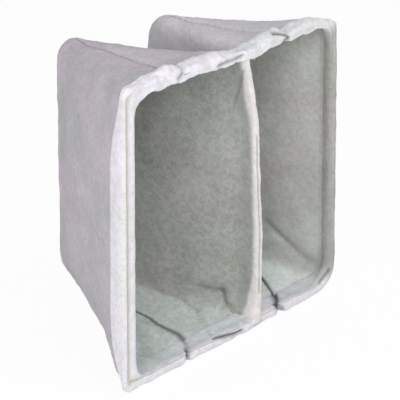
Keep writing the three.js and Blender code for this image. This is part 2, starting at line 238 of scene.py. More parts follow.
def mark(tree, name):
    node = tree.nodes.new("ShaderNodeAttribute")
    node.attribute_name = name
    return node.outputs["Fac"]


def bump(tree, base, height, strength, depth, before=None):
    node = tree.nodes.new("ShaderNodeBump")
    node.inputs["Strength"].default_value = strength
    node.inputs["Distance"].default_value = depth
    tree.links.new(height, node.inputs["Height"])
    if before is not None:
        tree.links.new(before, node.inputs["Normal"])
    tree.links.new(node.outputs[0], base.inputs["Normal"])
    return node.outputs[0]


# Marks on the meshes: one on the sheet's inside carries painted shade, one on surfaces facing up painted
# light, crease painted shade in seams, grooves and valleys, dark painted shade in deep folds and tucks, and
# speck where loose fibres show

def wadding(name, tints, inside, crease, mottle):
    """Bonded wadding in three faint tints from dark to pale, mottled with fibres, with darker creases."""
    material, tree, base = shader(name)
    broad = span(tree, noise(tree, 5.5, detail=2.0), 0.36, 0.64)
    second = span(tree, noise(tree, 12.0, detail=2.0, distortion=0.3), 0.4, 0.7)
    spots = noise(tree, 95.0, detail=5.0, roughness=0.62, distortion=0.5)
    fibres = noise(tree, 300.0, roughness=0.6, distortion=1.4, stretch=(1, 1, 0.5))
    clumps = noise(tree, 26.0, roughness=0.55, distortion=0.4)

    def skin(dark, middle, light, strength):
        colour = mix(tree, broad, dark, middle)
        colour = mix(tree, second, colour, light)
        deep = mix(tree, 1.0, colour, DULL_GAIN, "MULTIPLY")
        patchy = span(tree, clumps, 0.42, 0.62, 0.0, strength * 0.45)
        colour = mix(tree, patchy, colour, deep)
        colour = mix(tree, span(tree, spots, 0.42, 0.62, 0.0, strength), colour, deep)
        bright = mix(tree, 1.0, colour, FIBRE_GAIN, "MULTIPLY")
        return mix(tree, span(tree, fibres, 0.5, 0.7, 0.0, strength), colour, bright)

    # The inside takes the darker inside tints: painted shade
    colour = mix(tree, mark(tree, "inner"), skin(*tints, mottle[0]), skin(*inside, mottle[1]))
    # Surfaces facing up are multiplied lighter: painted light
    paler = mix(tree, 1.0, colour, PAINTED_LIGHT_GAIN, "MULTIPLY")
    colour = mix(tree, mark(tree, "pale"), colour, paler)
    speck = span(tree, noise(tree, 330.0, roughness=0.6), 0.6, 0.75)
    speckled = combine(tree, "MULTIPLY", speck, mark(tree, "speck"))
    colour = mix(tree, speckled, colour, SPECK_GREY)
    # Crease lines go to the crease colour and then to near black, and deep folds to a dark grey: painted
    # shade
    line = mark(tree, "crease")
    colour = mix(tree, span(tree, line, 0.0, 0.5), colour, crease)
    colour = mix(tree, span(tree, line, 0.5, 1.0), colour, GAP_SHADE_GREY)
    colour = mix(tree, mark(tree, "dark"), colour, FOLD_SHADE_GREY)
    tree.links.new(colour, base.inputs["Base Color"])
    first = bump(tree, base, spots, 0.5, 0.004)
    bump(tree, base, fibres, 0.45, 0.0014, first)
    return material


# The outside tints are the sheet's own colour; the inside tints are darker copies, painted shade of the
# pockets' interiors, the right pocket's lighter than the left's
OUTSIDE = ((0.45, 0.445, 0.46), (0.54, 0.475, 0.53), (0.54, 0.50, 0.54))
LEFT_INSIDE_SHADE = ((0.35, 0.365, 0.335), (0.41, 0.395, 0.38), (0.43, 0.445, 0.42))
# A lighter copy of the outside for the right pocket: painted light where the left pocket shades its side
RIGHT_OUTSIDE_PAINTED_LIGHTER = ((0.53, 0.525, 0.54), (0.62, 0.56, 0.61), (0.62, 0.59, 0.62))
RIGHT_INSIDE_SHADE = ((0.44, 0.455, 0.43), (0.53, 0.505, 0.49), (0.54, 0.56, 0.53))
HEM_OUTSIDE = ((0.69, 0.70, 0.70), (0.76, 0.70, 0.77), (0.77, 0.745, 0.81))
DIVIDER_OUTSIDE = ((0.69, 0.68, 0.66), (0.76, 0.70, 0.69), (0.76, 0.73, 0.72))
# A grey painted shade for seams and creases, and a beige painted shade for the hem's groove
SEAM_SHADE_GREY, GROOVE_SHADE_BEIGE = (0.17, 0.18, 0.17), (0.48, 0.45, 0.39)
media = wadding("media", OUTSIDE, LEFT_INSIDE_SHADE, SEAM_SHADE_GREY, (0.4, 0.8))
# The right pocket's material is a lighter copy of the left's: painted light
right_media_painted_lighter = wadding("media_right_painted_lighter", RIGHT_OUTSIDE_PAINTED_LIGHTER, RIGHT_INSIDE_SHADE, SEAM_SHADE_GREY, (0.4, 0.6))
hem_stuff = wadding("hem", HEM_OUTSIDE, LEFT_INSIDE_SHADE, GROOVE_SHADE_BEIGE, (0.45, 0.7))
divider_stuff = wadding("hem_divider", DIVIDER_OUTSIDE, LEFT_INSIDE_SHADE, SEAM_SHADE_GREY, (0.45, 0.7))
steel, _, steel_base = shader("galvanised_wire", 0.35)
steel_base.inputs["Base Color"].default_value = (0.56, 0.57, 0.58, 1)
steel_base.inputs["Metallic"].default_value = 1.0


# The outline of the mouth

CORNER_STEPS = 18
SIDE_STEPS = 150
LEVEL_STEPS = 210
TIGHT, SOFT = 15.0, 58.0
LIP_INSET, LIP_TIGHT, LIP_SOFT = 32, 36, 42


def outline(inset):
    """Points this far inside the mouth's edge, from the top left down, and the way out at each."""
    share = min(1.0, inset / LIP_INSET)
    tight = TIGHT + (LIP_TIGHT - TIGHT) * share
    soft = SOFT + (LIP_SOFT - SOFT) * share
    half = HALF - inset
    rows = []

    def arc(sx, sz, radius, start):
        for k in range(CORNER_STEPS + 1):
            angle = math.radians(start + 90 * k / CORNER_STEPS)
            out_x, out_z = math.cos(angle), math.sin(angle)
            x = sx * (half - radius) + radius * out_x
            z = sz * (half - radius) + radius * out_z
            rows.append((x, z, out_x, out_z))

    def straight(x0, z0, x1, z1, out, steps):
        for k in range(1, steps):
            share = k / steps
            rows.append((x0 + (x1 - x0) * share, z0 + (z1 - z0) * share, *out))

    arc(-1, 1, tight, 90)
    straight(-half, half - tight, -half, tight - half, (-1, 0), SIDE_STEPS)
    arc(-1, -1, tight, 180)
    straight(tight - half, -half, half - soft, -half, (0, -1), LEVEL_STEPS)
    arc(1, -1, soft, 270)
    straight(half, soft - half, half, half - tight, (1, 0), SIDE_STEPS)
    arc(1, 1, tight, 0)
    straight(half - tight, half, tight - half, half, (0, 1), LEVEL_STEPS)
    return np.array(rows)


# The hem round the mouth

edge = outline(0.0)
edge_x, edge_z = edge[:, 0], edge[:, 1]
on_top = np.clip(edge[:, 3], 0, 1) ** 2
on_bottom = np.clip(-edge[:, 3], 0, 1) ** 2
on_left = np.clip(-edge[:, 2], 0, 1) ** 2
on_right = np.clip(edge[:, 2], 0, 1) ** 2

DEEP_GROOVE, SIDE_PUFF = 2.6, 4

# Each tuck is its place along x, its width and its strength
TOP_TUCKS = ((-145, 9, 0.7), (2, 15, 0.6), (154, 9, 0.6))
BOTTOM_TUCKS = ((-134, 6, 0.7), (8, 12, 0.3), (134, 7, 0.9))
# Each crease is a line of points, then its width, depth and the darkness of its painted shade
HEM_CREASES = (
    (((-156, -1, 285), (-143, 6, 291), (-144, 14, 298), (-140, 34, 302)), 5.0, 4.0, 0.55),
    (((-52, -1, 284), (-23, 3, 286), (-7, 3, 286), (14, 0, 289)), 4.5, 3.5, 0.6),
    (((130, -1, 280), (145, 1, 286), (140, 2, 293), (129, 2, 300), (108, 8, 305)), 5.5, 6.0, 0.85),
    ((
        (-106, 50, -272), (-112, 30, -270), (-121, 18, -269), (-130, 8, -270),
        (-132, 0, -276), (-133, 0, -290), (-134, 5, -300),
    ), 6.0, 6.0, 1.05),
    (((-37, 50, -273), (-48, 36, -272), (-56, 24, -271), (-65, 4, -271)), 4.5, 1.0, 0.2),
    (((-62, 0, -272), (-38, 0, -280), (-20, 0, -285), (-4, 0, -289), (14, 1, -291)), 5.5, 5.0, 0.95),
    ((
        (154, 50, -275), (140, 30, -271), (122, 10, -270), (121, 1, -275),
        (127, 0, -284), (132, 0, -294), (134, 5, -302),
    ), 8.5, 8.0, 1.25),
    (((249, 0, -271), (263, 0, -262), (277, 0, -254)), 5.5, 3.0, 0.8),
)


def by_side(top, bottom, left, right):
    """A value for each side of the mouth, blended round its corners."""
    return top * on_top + bottom * on_bottom + left * on_left + right * on_right


def tucks(spots):
    return sum(strength * bell(edge_x - x, width) for x, width, strength in spots)


tuck = by_side(tucks(TOP_TUCKS), tucks(BOTTOM_TUCKS), 0, 0)
top_puff = table(
    edge_x, (-285, 0), (-240, 1), (-212, 7), (-190, 10), (-165, 12), (-148, 11), (-138, 4), (-126, 7),
    (-90, 10), (-60, 8), (-30, 4), (0, 1), (30, 0), (50, 2), (72, 6), (100, 9), (125, 9), (142, 4), (150, 0),
    (165, 3), (210, 6), (235, 5), (265, 0), (290, 0),
)
bottom_puff = table(
    edge_x, (-290, 0), (-200, 2), (-134, 4), (-128, 3), (0, 6), (20, 7), (60, 3), (100, 0), (128, 1),
    (136, 4), (200, 5), (260, 2),
)
side_puff = SIDE_PUFF * smooth(HALF - np.abs(edge_z), 10, 120)
puff = by_side(top_puff, bottom_puff, side_puff, side_puff)
flank_side = table(
    edge_z, (-290, 9), (-262, 17), (-230, 29), (-200, 36), (-150, 39), (0, 37), (150, 35), (200, 29),
    (230, 22), (262, 14), (290, 9),
)
flank_level = 12 + 20 * smooth(HALF - np.abs(edge_x), 0, 90)
flank = by_side(flank_level, flank_level, flank_side, flank_side)
top_lip = table(
    edge_x, (-290, 27), (-268, 24), (-230, 23), (-190, 22), (-150, 19), (-110, 18), (-60, 20), (-20, 21),
    (20, 21), (50, 26), (75, 21), (110, 21), (150, 18), (190, 17), (250, 17), (280, 18),
)
lip = by_side(top_lip, 23, 31, 21.5)
tail = by_side(30, 46, 21, 24)
bottom_groove_at = 18 + 2 * (edge_x > 130)
groove_at = by_side(11, bottom_groove_at, 8.6, 15)
groove = by_side(0.5, DEEP_GROOVE, 2.8, 3.8)
groove_width = 3.4 + 1.0 * on_left
rise = by_side(0, 0.27, 0, 0)

SLOT_OUTER, SLOT_INNER, SLOT_FRONT, SLOT_BEND, TAIL_INSET, TAIL_START = 7.0, 16.0, 8.5, 14.0, 16.6, 33


def hem_profile(s):
    """The folded strip's section at station s: inset, depth, share of the swelling."""
    # flank, lip, tail, then the groove's place, depth and width, and q from the groove to the lip
    f, w, t, g, d, v = flank[s], lip[s], tail[s], groove_at[s], groove[s], groove_width[s]
    q = w - g
    start = min(4.5, g - v - 0.3)
    end = TAIL_INSET + rise[s] * (t - TAIL_START)
    return [
        (1.5, f, 0.3), (-0.5, f * 0.97, 0.55), (0, f * 0.75, 0.95), (0, f * 0.5, 1.1), (0, f * 0.3, 0.9),
        (0.6, 4.2, 0.6), (0.55 * start, 1.2, 0.3), (start, 0.0, 0.05), ((start + g - v) / 2, -0.4, 0),
        (g - v, 0.0, 0), (g - 0.45 * v, d * 0.5, 0), (g, d, 0), (g + 0.4 * v, d * 0.5, 0),
        (g + min(v, 0.45 * q), 0.2, 0), (g + 0.66 * q, -0.035 * q, 0), (w - 0.17 * q, 1.4, 0),
        (w - 0.3, 5.0, 0), (w, 10.0, 0), (w + (end - w) * 0.45, 10 + (t - 10) * 0.5, 0), (end, t, 0),
        (end - 0.6, t - 1.0, 0), (SLOT_INNER, min(t - 1.5, TAIL_START), 0), (SLOT_INNER, SLOT_BEND, 0),
        (SLOT_INNER, SLOT_FRONT, 0), (SLOT_OUTER, SLOT_FRONT, 0), (SLOT_OUTER, SLOT_BEND, 0),
        (SLOT_OUTER, f - 0.5, 0),
    ]


def rounded(polygon, times=2):
    """Cuts the corners of a closed outline."""
    for _ in range(times):
        after = np.roll(polygon, -1, axis=0)
        near, far = polygon * 0.75 + after * 0.25, polygon * 0.25 + after * 0.75
        polygon = np.stack([near, far], axis=1).reshape(-1, polygon.shape[1])
    return polygon


DEEPEST_INSET, INSET_STEP = 40, 0.5
TUCK_IN, TUCK_BACK, TUCK_REACH = 4.5, 4.0, 9.0
HEM_CORE = 15.0
STITCH_PITCH = 9
CREASE_RIM = 0.9
WHITE_LIP_AT, WHITE_LIP_WIDTH = 86, 42


def hem_piece():
    insets = np.linspace(0, DEEPEST_INSET, int(DEEPEST_INSET / INSET_STEP) + 1)
    lines = np.stack([outline(v) for v in insets])
    sections = np.stack([rounded(np.array(hem_profile(s))) for s in range(len(edge))])
    count = sections.shape[1]
    inset, depth, swell = sections.reshape(-1, 3).T
    station = np.repeat(np.arange(len(edge)), count)
    place = np.clip(inset, 0, DEEPEST_INSET) / INSET_STEP
    low = np.minimum(place.astype(int), len(insets) - 2)
    part = (place - low)[:, None]
    at = lines[low, station, :2] * (1 - part) + lines[low + 1, station, :2] * part
    out = edge[station, 2:]
    push = swell * puff[station] + np.clip(-inset, 0, 9) - TUCK_IN * tuck[station] * (swell > 0.02)
    front = TUCK_BACK * tuck[station] * np.exp(-np.clip(depth, 0, FAR) / TUCK_REACH)
    points = np.column_stack([at[:, 0] + out[:, 0] * push, depth + front, at[:, 1] + out[:, 1] * push])
    slot = (inset > SLOT_OUTER - 0.5) & (inset < TAIL_INSET) & (depth > SLOT_FRONT - 1)
    lumps = waves(points, (0.9, 45, 3), (0.28, 17, 4), (0.16, 8, 5))
    swing = np.column_stack([out[:, 0], np.full(len(points), -0.5), out[:, 1]])
    rough = by_side(1.9, 0.5, 0.4, 0.4)[station]
    points = points + swing * (lumps * rough * ~slot)[:, None]
    core = np.column_stack([
        edge[station, 0] - HEM_CORE * out[:, 0],
        np.full(len(points), HEM_CORE),
        edge[station, 1] - HEM_CORE * out[:, 1],
    ])
    toward = core - points
    toward /= np.maximum(np.linalg.norm(toward, axis=1), 1)[:, None]
    shade = np.zeros(len(points))
    moved = points.copy()
    # Each crease dents the hem and paints shade into it
    for line, width, depth, dark in HEM_CREASES:
        gap, _ = distance_to(points, line)
        well = bell(gap, width)
        rim = bell(gap - 2.4 * width, 1.2 * width)
        moved += toward * ((depth * well - CREASE_RIM * rim) * ~slot)[:, None]
        shade = np.maximum(shade, dark * bell(gap, 0.85 * width))
    points = moved
    # The groove is given painted shade, pulsing with the stitch pitch and stronger on the right
    run = edge[station, 0] + edge[station, 1]
    band = 1.7 + 2.9 * on_left[station]
    in_groove = bell(inset - groove_at[station], band) * (points[:, 1] < 6)
    in_groove *= np.clip(groove[station] / DEEP_GROOVE, 0, 1)
    stitches = 0.85 + 0.15 * np.sin(run * 2 * math.pi / STITCH_PITCH)
    in_groove *= (0.46 + 0.28 * on_right[station]) * stitches
    white_lip = np.exp(-(((edge[station, 0] - WHITE_LIP_AT) / WHITE_LIP_WIDTH) ** 4))
    # Behind the bottom groove, along the right band and on the tail the hem takes the inside tints as painted
    # shade, less at the white lip; the bottom tail also takes painted light
    behind = 0.65 * smooth(inset, groove_at[station] + 0.5, groove_at[station] + 3) * on_bottom[station]
    behind = behind * (1 - 0.8 * white_lip) + smooth(inset, 1, 5) * on_right[station]
    tail_end = smooth(points[:, 1], 9, 20) * (inset > SLOT_INNER + 0.5)
    tail_shade = tail_end * (0.8 - 0.2 * on_bottom[station]) * (1 - 0.6 * white_lip)
    return add_mesh(
        "mouth_hem_wadding", points, ring_quads(len(edge), count), hem_stuff,
        crease=np.clip(in_groove, 0, 1),
        dark=np.clip(shade, 0, 1),
        inner=np.clip(np.maximum(behind, tail_shade), 0, 1),
        pale=np.clip(np.maximum(behind, tail_end) * on_bottom[station], 0, 1),
    )


# The narrow strip over the two sheet edges between the pockets

def divider_at(z):
    """How far right of the middle the bowed divider stands at each height."""
    return table(
        z, (-290, 54), (-250, 62.5), (-210, 64.5), (-170, 66), (-130, 67), (-90, 65.5), (-50, 63),
        (-10, 61.5), (30, 59.5), (70, 57.5), (110, 55.5), (150, 53), (190, 46), (230, 37), (270, 28),
        (290, 23),
    )


DIVIDER_LOW, DIVIDER_HIGH, DIVIDER_STEPS = -289, 283, 230
DIVIDER_FOLD = ((22, 8, 255), (28, 18, 225), (33, 35, 192), (38, 46, 160))


def divider_piece():
    heights = np.linspace(DIVIDER_LOW, DIVIDER_HIGH, DIVIDER_STEPS)
    rows, valley_shades = [], []
    for z in heights:
        w = table(z, (-289, 18), (-275, 15), (-250, 12.5), (-220, 11), (200, 10), (262, 11), (283, 12))
        valley = 1.4 * smooth(-z, -150, -60) * (1 - smooth(-z, 190, 240)) + 0.4
        section = rounded(np.array([
            (-21.0, 60, 0), (-20.2, 53, 0), (-15.6, 43, 0), (-w - 1.6, 33, 0), (-w - 0.6, 22, 0),
            (-w * 0.96, 11, 0), (-w * 0.72, 3.2, 0), (-w * 0.42, 0.6, 0), (-w * 0.2, valley, 1),
            (w * 0.08, -0.4, 0), (w * 0.5, 0.0, 0), (w * 0.88, 4.2, 0), (w, 11, 0), (w + 0.2, 20, 0),
            (w + 0.4, 30, 0), (w - 3.2, 30, 0),
            (w - 3.4, 11, 0), (-w + 3.4, 11, 0), (-w + 2.4, 33, 0), (-16.5, 52, 0),
        ]))
        x = section[:, 0] + divider_at(z)
        y = section[:, 1] - 3.0 * smooth(-z, 252, 272)
        rows.append(np.column_stack([x, y, np.full(len(section), z)]))
        valley_shades.append(section[:, 2] * 0.35 * (valley > 0.8))
    count = len(rows[0])
    points = np.vstack(rows)
    points[:, 0] += waves(points, (0.5, 110, 11), (0.15, 14, 12))
    points[:, 1] += waves(points, (0.4, 50, 13), (0.2, 10, 14))
    # Painted shade along the front valley, at the points the section's third column marks, and along the fold
    fold, _ = distance_to(points, DIVIDER_FOLD)
    crease = np.concatenate(valley_shades) + 0.3 * bell(fold, 3.0)
    faces = ring_quads(len(rows), count, closed=False)
    faces.append(list(range(count)))
    faces.append(list(range(len(points) - 1, len(points) - 1 - count, -1)))
    # Left of the middle, behind a turn, the divider takes the inside tints: painted shade
    left_of = points[:, 0] < divider_at(points[:, 2]) - 2
    turn = table(points[:, 2], (-289, 26), (-240, 20), (-180, 9), (140, 7), (192, 14), (240, 10), (283, 8))
    inner = smooth(points[:, 1], turn - 4, turn + 6) * left_of
    return add_mesh("divider_hem_wadding", points, faces, divider_stuff, crease=crease, inner=inner)


# The pockets, each one sheet folded at the back

# Mesh steps: half a pocket's top, one corner, its side, the loft to the back and the stretch in the hem
STRIP, CORNER, SIDE, LOFT, ROLL = 12, 12, 64, 72, 6
END = STRIP + CORNER
LOOP_HALF = 2 * END + SIDE
# How deep the sheet runs straight behind the mouth, and the radius of its fold at the back
STRAIGHT, FOLD = 33.0, 20.0
TOP_DEPTH, BOTTOM_DEPTH, BOTTOM_RISE = 326.0, 345.0, 98.0
BACK_BOTTOM_RADIUS = 46
DIVIDER_CORNER, SHOULDER, SOFT_SHOULDER = 14, 44, 78
DIVIDER_GAP, DIVIDER_REACH = 0.4, 14.5
BELLY = 9
OUTER_FRONT, DIVIDER_FRONT = 13.0, 10.0
# What the seams draw in, each as depth and width
SEAM_DIPS = ((5.5, 9), (2.0, 30))
# Puckers along the seams, the thinning there, and the smoothing toward the back
PUCKER_DEPTH, PUCKER_PITCH, PUCKER_WIDTH = 0.7, 13, 12
SQUEEZE, SQUEEZE_WIDTH = 2.4, 4.0
RELAX_AMOUNT, RELAX_TIMES, RELAX_FROM, RELAX_FULL = 0.6, 14, 110, 190
DEEPEST_CUT = 2.5


def half_ring(hand, outer, top_radius, bottom_radius):
    """Half of a pocket's mouth from the top seam to the bottom seam, along the outside or the divider."""
    side_x = hand * (HALF - SHEET_INSET) if outer else hand * (SHEET / 2 + DIVIDER_GAP)
    away = hand if outer else -hand
    seam_x, edge_z = hand * HALF / 2, HALF - SHEET_INSET
    angles = np.radians(np.linspace(0, 90, CORNER + 1))
    t = np.linspace(0, 1, STRIP + 1)[:-1]

    def end(radius, sign):
        strip_x = seam_x + (side_x - away * radius - seam_x) * t
        arc_x = side_x - away * radius * (1 - np.sin(angles))
        arc_z = sign * (edge_z - radius * (1 - np.cos(angles)))
        return np.column_stack([np.r_[strip_x, arc_x], np.r_[np.full(STRIP, sign * edge_z), arc_z]])

    upper, lower = end(top_radius, 1), end(bottom_radius, -1)
    z = np.linspace(edge_z - top_radius, bottom_radius - edge_z, SIDE + 1)[1:-1]
    ring = np.vstack([upper, np.column_stack([np.full(SIDE - 1, side_x), z]), lower[::-1]])
    near = np.clip((HALF / 2 - np.abs(ring[:, 0])) / (HALF / 2 - DIVIDER_REACH), 0, 1)
    ring[:, 0] += near * divider_at(ring[:, 1])
    return ring


def back_spine(top_rise, top_radius):
    """The fold's axis from top to bottom, with the way out to the back at each spot."""
    inset = FOLD + SHEET / 2
    top, bottom = HALF + top_rise, BOTTOM_RISE - HALF
    rake = math.atan2(BOTTOM_DEPTH - TOP_DEPTH, top - bottom)
    slope = math.atan2(BOTTOM_RISE, BOTTOM_DEPTH)
    quarter = SIDE // 4

    def facing(angle):
        return np.array([0, math.cos(angle), math.sin(angle)])

    def arc(y, z, radius, start, stop, steps):
        a, b = facing(start), facing(stop)
        centre = np.array([0, y, z]) - (a + b) * radius / (1 + a @ b)
        turns = [facing(start + (stop - start) * k / steps) for k in range(steps + 1)]
        return [(centre + out * (radius - inset), out) for out in turns]

    upper = arc(TOP_DEPTH, top, top_radius, math.pi / 2, rake, quarter)
    lower = arc(BOTTOM_DEPTH, bottom, BACK_BOTTOM_RADIUS, rake, slope - math.pi / 2, quarter)
    middle = SIDE - 2 * quarter
    a, b = upper[-1][0], lower[0][0]
    straight = [(a + (b - a) * k / middle, facing(rake)) for k in range(1, middle)]
    return upper + straight + lower


def relaxed(values, quads, amount, times):
    """Moves each value some way toward the mean of its neighbours, several times over."""
    for _ in range(times):
        total, number = np.zeros_like(values), np.zeros(len(values))
        for k in range(4):
            a, b = quads[:, k], quads[:, (k + 1) % 4]
            np.add.at(total, a, values[b])
            np.add.at(total, b, values[a])
            np.add.at(number, a, 1)
            np.add.at(number, b, 1)
        values = values + amount[:, None] * (total / number[:, None] - values)
    return values


def normals_of(places, quads):
    """The way out of the sheet at each point."""
    corners = places[quads]
    face = np.cross(corners[:, 2] - corners[:, 0], corners[:, 3] - corners[:, 1])
    face /= np.maximum(np.linalg.norm(face, axis=1), 1e-9)[:, None]
    total = np.zeros_like(places)
    for k in range(4):
        np.add.at(total, quads[:, k], face)
    total /= np.maximum(np.linalg.norm(total, axis=1), 1e-9)[:, None]
    middle = places.mean(axis=0)
    return total if ((places - middle) * total).sum() > 0 else -total


def pocket_piece(name, material, hand, lean, top_rise, top_radius, corner_radii, seams, creases, seed):
    """One sheet lofted from its half of the mouth, hand -1 left or 1 right, to the fold at the back."""
    spine = back_spine(top_rise, top_radius)
    centre = hand * HALF / 2 + lean

    def fold_point(row, turn):
        at, out = spine[row]
        point = at + out * FOLD * math.cos(turn)
        point[0] = centre + FOLD * math.sin(turn)
        return point

    def back_half(away):
        rows = []
        for k in range(LOOP_HALF + 1):
            from_seam = min(k, LOOP_HALF - k, END)
            row = min(max(k - END, 0), SIDE)
            rows.append(fold_point(row, away * math.pi * from_seam / (2 * END)))
        return np.array(rows)

    def loop(first, second):
        return np.vstack([first, second[1:-1][::-1]])

    mouth = loop(
        half_ring(hand, True, *corner_radii), half_ring(hand, False, DIVIDER_CORNER, DIVIDER_CORNER)
    )
    shoulder = loop(
        half_ring(hand, True, SHOULDER, SOFT_SHOULDER), half_ring(hand, False, SHOULDER, SHOULDER)
    )
    back = loop(back_half(hand), back_half(-hand))
    around = len(back)
    index = np.arange(around)
    along = np.where(index <= LOOP_HALF, index, 2 * LOOP_HALF - index)
    outer = index <= LOOP_HALF
    on_side = np.sin(np.pi * np.clip((along - END) / SIDE, 0, 1))
    belly_way = np.where(outer, hand, -hand)
    on_divider = ~outer & (along > END) & (along < END + SIDE)
    front = np.where(on_divider, DIVIDER_FRONT, OUTER_FRONT)

    rings, shares = [], []
    for k in range(ROLL + 1):
        y = front + (STRAIGHT - front) * k / ROLL
        rings.append(np.column_stack([mouth[:, 0], y, mouth[:, 1]]))
        shares.append(0.0)
    for k in range(1, LOFT + 1):
        share = k / LOFT
        blend = smooth(share, 0, 0.3)
        start = mouth + (shoulder - mouth) * blend
        start = np.column_stack([start[:, 0], np.full(around, STRAIGHT), start[:, 1]])
        ring = start + (back - start) * share
        ring[:, 0] += belly_way * BELLY * math.sin(math.pi * share) * on_side
        rings.append(ring)
        shares.append(share)

    # The seams wander from the middle, and the sheet is drawn in along them
    top_line, bottom_line = seams
    ends = ((top_line, along < END, 1), (bottom_line, along > LOOP_HALF - END, -1))
    to_seam = np.full((len(rings), around), FAR)
    for r, ring in enumerate(rings):
        fade = 1 - smooth(shares[r], 0.8, 1.0)
        for line, at_end, sign in ends:
            from_seam = along if sign > 0 else LOOP_HALF - along
            base, y = ring[0 if sign > 0 else LOOP_HALF, :2]
            shift = table(y, *line) * fade
            ring[:, 0] += at_end * shift * (1 - from_seam / END)
            away = np.abs(ring[:, 0] - base - shift)
            to_seam[r] = np.where(at_end, np.minimum(to_seam[r], away), to_seam[r])
            dip = sum(depth * bell(away, width) for depth, width in SEAM_DIPS)
            dip = dip * (1 - smooth(from_seam, 0.4 * END, END - 1))
            ring[:, 2] -= sign * at_end * dip * smooth(ring[:, 1], 24, 60) * fade
        rings[r] = ring

    points = np.vstack(rings)
    seam_gap = to_seam.ravel()
    quads = []
    for r in range(len(rings) - 1):
        a = r * around + index
        b = r * around + (index + 1) % around
        quads.append(np.column_stack([a, b, b + around, a + around]))
    quads = np.vstack(quads).tolist()
    last = (len(rings) - 1) * around
    across = 2 * END
    extra = {}
    more = []

    def fold_vertex(row, column):
        if row in (0, SIDE):
            from_seam = END - column
            turned = from_seam if row == 0 else LOOP_HALF - from_seam
            return last + turned % around
        if column == 0:
            return last + END + row
        if column == across:
            return last + around - END - row
        if (row, column) not in extra:
            extra[row, column] = len(points) + len(more)
            more.append(fold_point(row, (END - column) * hand * math.pi / (2 * END)))
        return extra[row, column]

    for row in range(SIDE):
        for column in range(across):
            quads.append([
                fold_vertex(row, column), fold_vertex(row + 1, column),
                fold_vertex(row + 1, column + 1), fold_vertex(row, column + 1),
            ])
    points = np.vstack([points, np.array(more)])
    seam_gap = np.r_[seam_gap, np.full(len(more), FAR)]
    quads = np.array(quads)

    # The columns crowd at the back corners and would fold over there
    toward_back = smooth(points[:, 1], RELAX_FROM, RELAX_FULL)
    points = relaxed(points, quads, RELAX_AMOUNT * toward_back, RELAX_TIMES)

    way = normals_of(points, quads)
    loose = smooth(points[:, 1], 34, 90)
    sway = waves(points, (1.0, 150, seed), (0.3, 48, seed + 1), (0.18, 18, seed + 2))
    points = points + way * (sway * (0.12 + 0.88 * loose))[:, None]
    puckers = PUCKER_DEPTH * np.sin(points[:, 1] * 2 * math.pi / PUCKER_PITCH)
    points[:, 2] += puckers * bell(seam_gap, PUCKER_WIDTH) * loose
    # Painted shade along the seams, fainter on the top seams
    dark = np.where(points[:, 2] > 0, 0.25, 0.75) * bell(seam_gap, 2.8)
    dark = dark * smooth(points[:, 1], 26, 40)
    squeeze = SQUEEZE * bell(seam_gap, SQUEEZE_WIDTH) * smooth(points[:, 1], 26, 45)
    inner_dark = np.zeros(len(points))
    inner_cut = np.zeros(len(points))
    # Each crease dents the sheet and paints shade along it
    for line, width, depth, shade in creases:
        gap, place = distance_to(points, line)
        fade = np.sin(np.pi * np.clip(place * 0.92 + 0.06, 0, 1)) ** 0.5
        fold = bell(gap, width) * fade
        points = points + way * (depth * fold)[:, None]
        inner_cut += 0.35 * depth * bell(gap, 0.35 * width) * fade
        inner_dark += shade * bell(gap, 0.45 * width) * fade
    way = normals_of(points, quads)
    thick = SHEET / 2 - squeeze
    fuzz = waves(points, (0.22, 9, seed + 5))
    outside = points + way * (thick + fuzz)[:, None]
    inside = points - way * (thick - np.clip(inner_cut, 0, DEEPEST_CUT))[:, None]
    count = len(points)
    faces = quads.tolist() + (quads[:, ::-1] + count).tolist()
    faces += [[i, i + count, (i + 1) % around + count, (i + 1) % around] for i in range(around)]
    on_wall = 0.5 * smooth(points[:, 0], -60, 40) * (points[:, 0] < 70) * (hand < 0)
    none = np.zeros(count)
    # The inside skin takes painted shade, and painted light where it faces up
    return add_mesh(
        name, np.vstack([outside, inside]), faces, material,
        speck=np.r_[none, on_wall],
        crease=np.clip(np.r_[dark, dark * 0.8 + inner_dark], 0, 1),
        inner=np.r_[none, np.ones(count)],
        pale=np.r_[none, smooth(-way[:, 2], 0.45, 0.95)],
    )


WIRE_SIDES, WIRE_STRIDE = 12, 10


def wire_piece():
    line = outline(SHEET_INSET)
    in_corner = (np.abs(line[:, 2]) > 0.02) & (np.abs(line[:, 3]) > 0.02)
    path = line[in_corner | (np.arange(len(line)) % WIRE_STRIDE == 0)]
    angles = np.linspace(0, 2 * math.pi, WIRE_SIDES, endpoint=False)
    outer, deeper = WIRE_RADIUS * np.cos(angles), WIRE_DEPTH + WIRE_RADIUS * np.sin(angles)
    rings = [np.column_stack([x + ox * outer, deeper, z + oz * outer]) for x, z, ox, oz in path]
    return add_mesh("wire_ring", np.vstack(rings), ring_quads(len(rings), WIRE_SIDES), steel)


# Each seam, top and bottom, is how far it drifts in x at each depth
LEFT_SEAMS = (
    ((0, 7), (95, 7), (245, -10), (330, 0)),
    (
        (0, 15), (9, 18), (20, 28), (33, 38), (43, 42), (59, 41), (77, 33), (102, 25), (125, 26),
        (150, 18), (300, 0),
    ),
)
RIGHT_SEAMS = (
    ((0, 0), (330, 0)),
    ((0, -16), (8, -26), (25, -12), (48, 9), (71, 22), (88, 31), (120, 42), (150, 40), (300, 0)),
)
